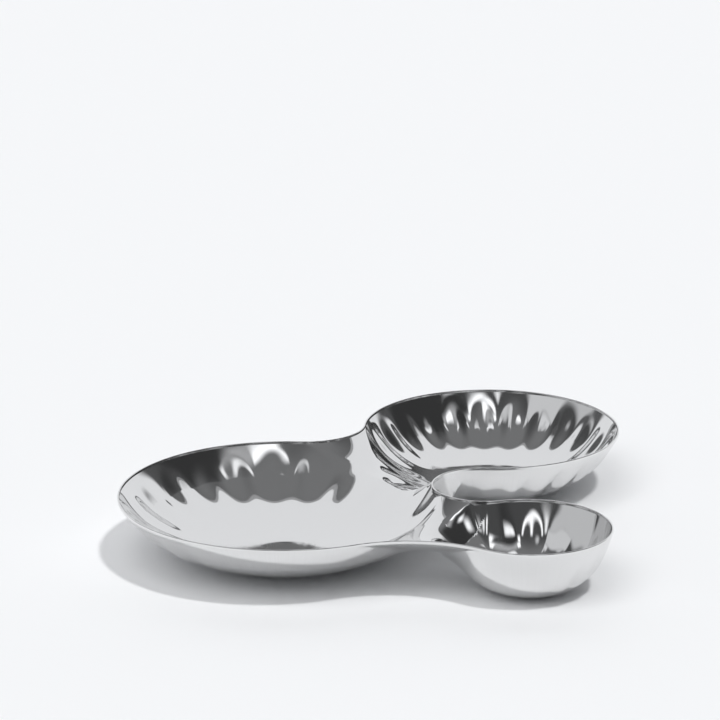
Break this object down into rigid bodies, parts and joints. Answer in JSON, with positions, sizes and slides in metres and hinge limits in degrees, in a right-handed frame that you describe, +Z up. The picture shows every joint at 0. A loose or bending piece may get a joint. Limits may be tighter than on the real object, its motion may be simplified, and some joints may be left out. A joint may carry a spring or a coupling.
{
  "type": "divided serving bowl",
  "caption": "Free-standing divided serving bowl: round dishes of different sizes pressed in one polished sheet, joined by low saddles inside a level rim.",
  "frame": {"origin": "on the table surface, under the middle of the plan box", "axes": "+Z up, +Y from the small dish towards the medium dish, +X from the large dish towards the other dishes"},
  "size_m": [0.367, 0.376, 0.046],
  "materials": {
    "polished_sheet": "mirror-polished stainless steel sheet with fine radial polishing lines",
    "rim_edge": "rounded and polished sheet edge"
  },
  "bodies": {
    "root": {"large_dish": "polished_sheet", "medium_dish": "polished_sheet", "small_dish": "polished_sheet", "back_bridge": "polished_sheet", "front_bridge": "polished_sheet", "large_base": "polished_sheet", "medium_base": "polished_sheet", "small_base": "polished_sheet", "large_rim": "rim_edge", "medium_rim": "rim_edge", "small_rim": "rim_edge", "back_rim": "rim_edge", "front_rim": "rim_edge", "notch_rim": "rim_edge"}
  },
  "joints": []
}
